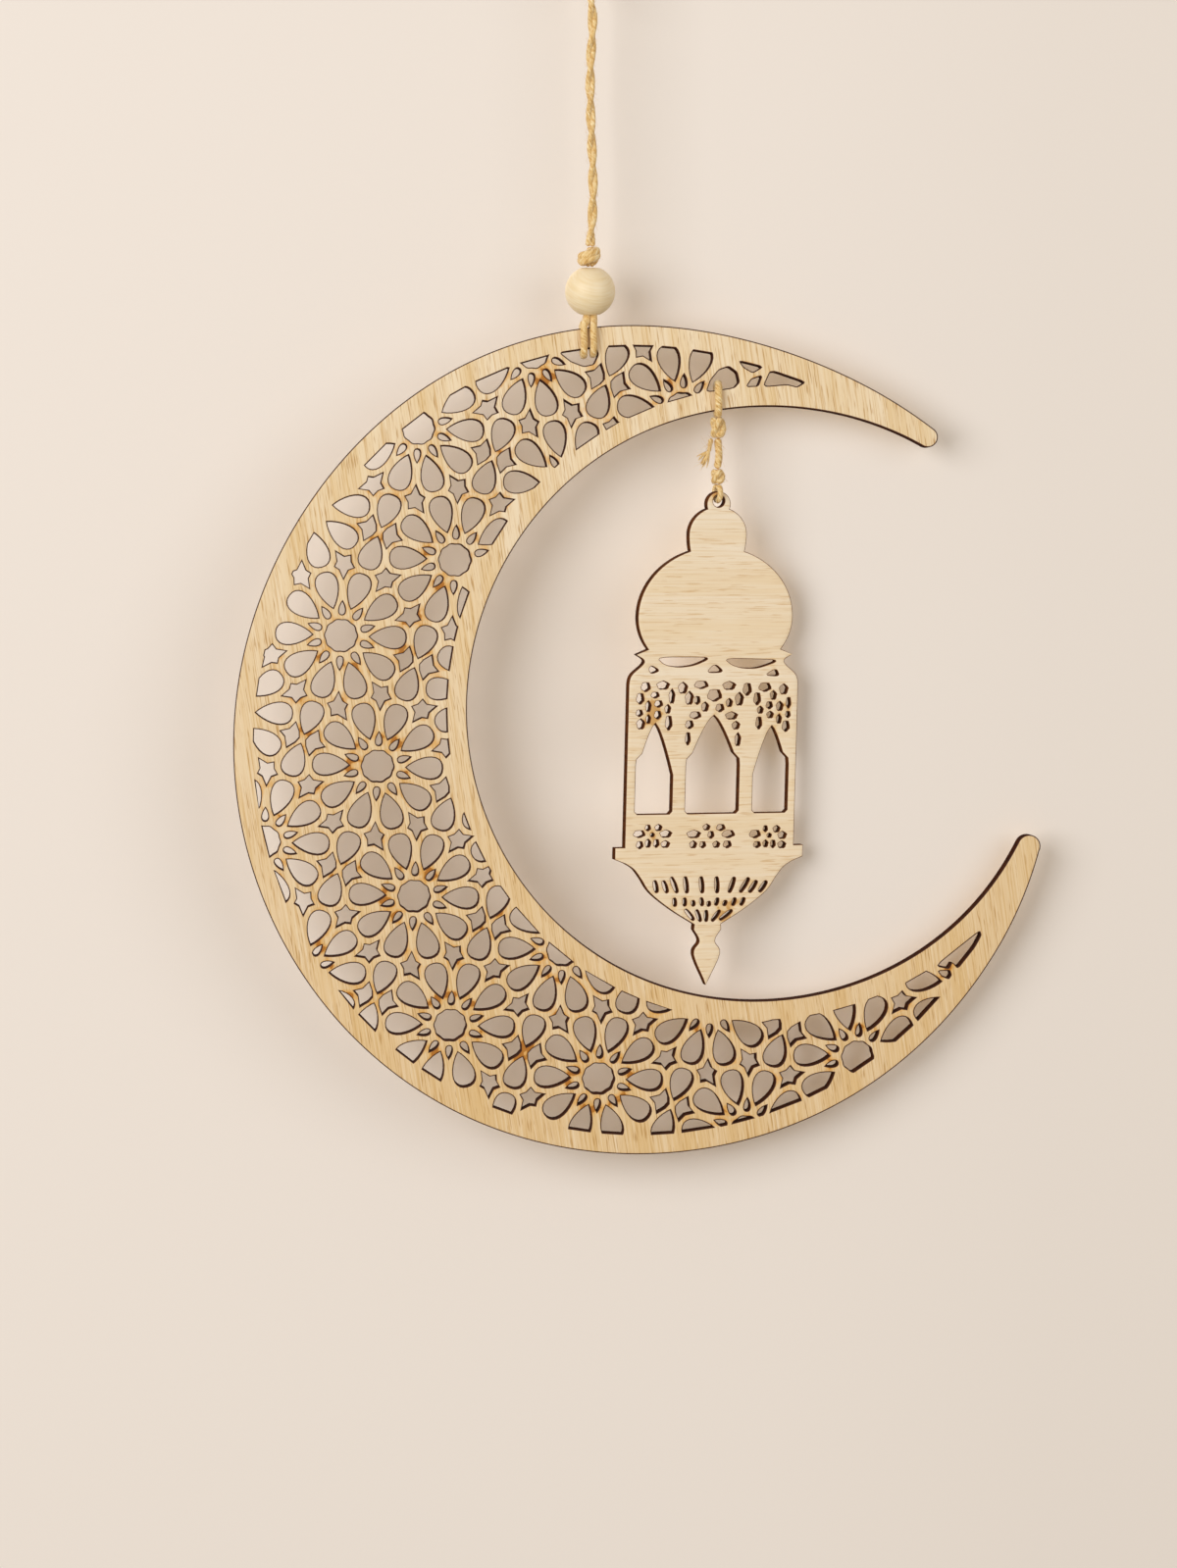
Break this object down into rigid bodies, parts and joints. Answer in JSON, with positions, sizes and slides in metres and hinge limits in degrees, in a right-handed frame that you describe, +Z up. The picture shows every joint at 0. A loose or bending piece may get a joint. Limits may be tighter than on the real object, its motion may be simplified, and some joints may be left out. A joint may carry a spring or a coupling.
{
  "type": "crescent moon wall hanging",
  "caption": "Fretwork crescent moon of thin plywood on a knotted jute cord with a wooden bead, with a flat cut-out lantern hanging freely inside its curve.",
  "frame": {"origin": "inside top of the cord's top loop, where a hook or nail holds the hanging; the moon's mid plane lies in the XZ plane", "axes": "+Z up along the hanging cord, +X to the right seen from the front, the front faces -Y"},
  "size_m": [0.2943, 0.0219, 0.458],
  "materials": {
    "moon_plywood": "bare pale plywood with scorched laser-cut edges",
    "lantern_plywood": "bare pale plywood with scorched laser-cut edges",
    "bead_wood": "turned and lightly polished",
    "jute": "coarse twisted jute, matt"
  },
  "bodies": {
    "hook_loop": {"top_loop": "jute"},
    "hanging_cord": {"top_knot": "jute", "hanging_cord": "jute", "bead_knot": "jute"},
    "bead": {"wood_bead": "bead_wood"},
    "rim_loops": {"rim_loop_left": "jute", "rim_loop_right": "jute"},
    "moon": {"crescent_panel": "moon_plywood"},
    "lantern_cord": {"lantern_rim_loop": "jute", "lantern_upper_knot": "jute", "lantern_strand": "jute", "lantern_tail": "jute", "lantern_lower_knot": "jute"},
    "lantern": {"lantern_ring_loop": "jute", "lantern_panel": "lantern_plywood"}
  },
  "joints": [
    {"name": "cord_swing", "type": "hinge", "parent": "hook_loop", "child": "hanging_cord", "pos_m": [0, 0, -0.029], "axis": [0, 1, 0], "range_deg": [-30, 30]},
    {"name": "bead_slide", "type": "slide", "parent": "hanging_cord", "child": "bead", "axis": [0, 0, 1], "range_m": [-0.001, 0]},
    {"name": "moon_twist", "type": "hinge", "parent": "hanging_cord", "child": "rim_loops", "pos_m": [0, 0, -0.1296], "axis": [0, 0, 1], "range_deg": [-90, 90]},
    {"name": "moon_rock", "type": "hinge", "parent": "rim_loops", "child": "moon", "pos_m": [-0.0007, 0, -0.16281], "axis": [0, 1, 0], "range_deg": [-10, 12]},
    {"name": "lantern_swing", "type": "hinge", "parent": "moon", "child": "lantern_cord", "pos_m": [0.0462, 0, -0.17716], "axis": [0, -1, 0], "range_deg": [-3.5, 20]},
    {"name": "lantern_twist", "type": "hinge", "parent": "lantern_cord", "child": "lantern", "pos_m": [0.0462, 0, -0.21735], "axis": [0, 0, 1], "range_deg": [-180, 180]}
  ]
}
